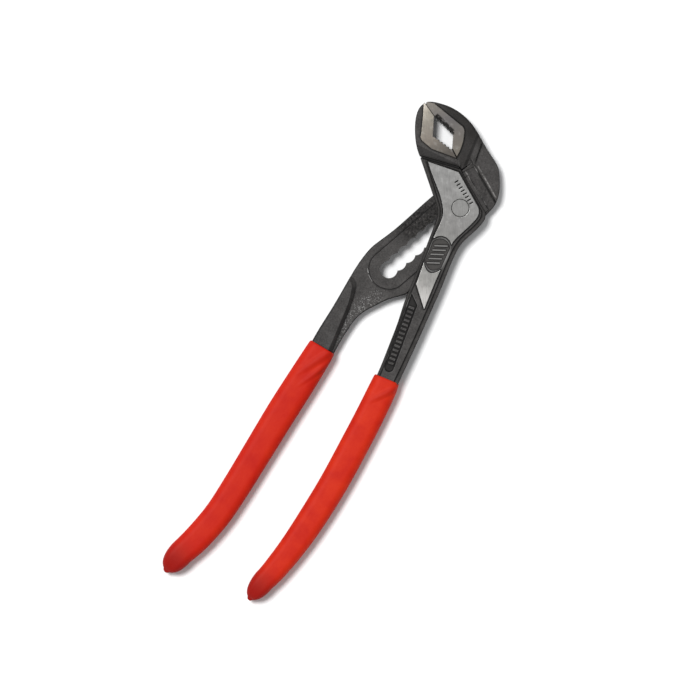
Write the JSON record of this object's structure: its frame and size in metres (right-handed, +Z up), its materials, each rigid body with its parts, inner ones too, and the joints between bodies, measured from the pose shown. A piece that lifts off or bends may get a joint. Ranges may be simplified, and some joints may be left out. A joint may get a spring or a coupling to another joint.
{
  "type": "tongue and groove pliers",
  "caption": "Box-joint tongue and groove pliers: serrated jaws, a scalloped slot that shifts their opening, and two dipped sleeves on the legs.",
  "frame": {"origin": "on the joint pin's axis, at the underside that the closed pliers lie on", "axes": "+Z up along the pin, out of the face shown; +Y along the tool towards the jaws; +X across it towards the outer leg's side"},
  "size_m": [0.0661, 0.2499, 0.0106],
  "materials": {
    "black_steel": "black phosphated forging with ground faces",
    "ground_steel": "surface ground",
    "red_vinyl": "satin dipped vinyl"
  },
  "bodies": {
    "box_leg": {"box_half": "black_steel", "box_grip": "red_vinyl"},
    "pin": {"joint_pin": "ground_steel"},
    "tongue_leg": {"tongue_half": "black_steel", "tongue_grip": "red_vinyl"}
  },
  "joints": [
    {"name": "pin_hinge", "type": "hinge", "parent": "box_leg", "child": "pin", "pos_m": [0, 0, 0.0053], "axis": [0, 0, -1], "range_deg": [0, 45]},
    {"name": "slot_slide", "type": "slide", "parent": "pin", "child": "tongue_leg", "axis": [0.3969, 0.9178, 0], "range_m": [0, 0.0434]}
  ]
}
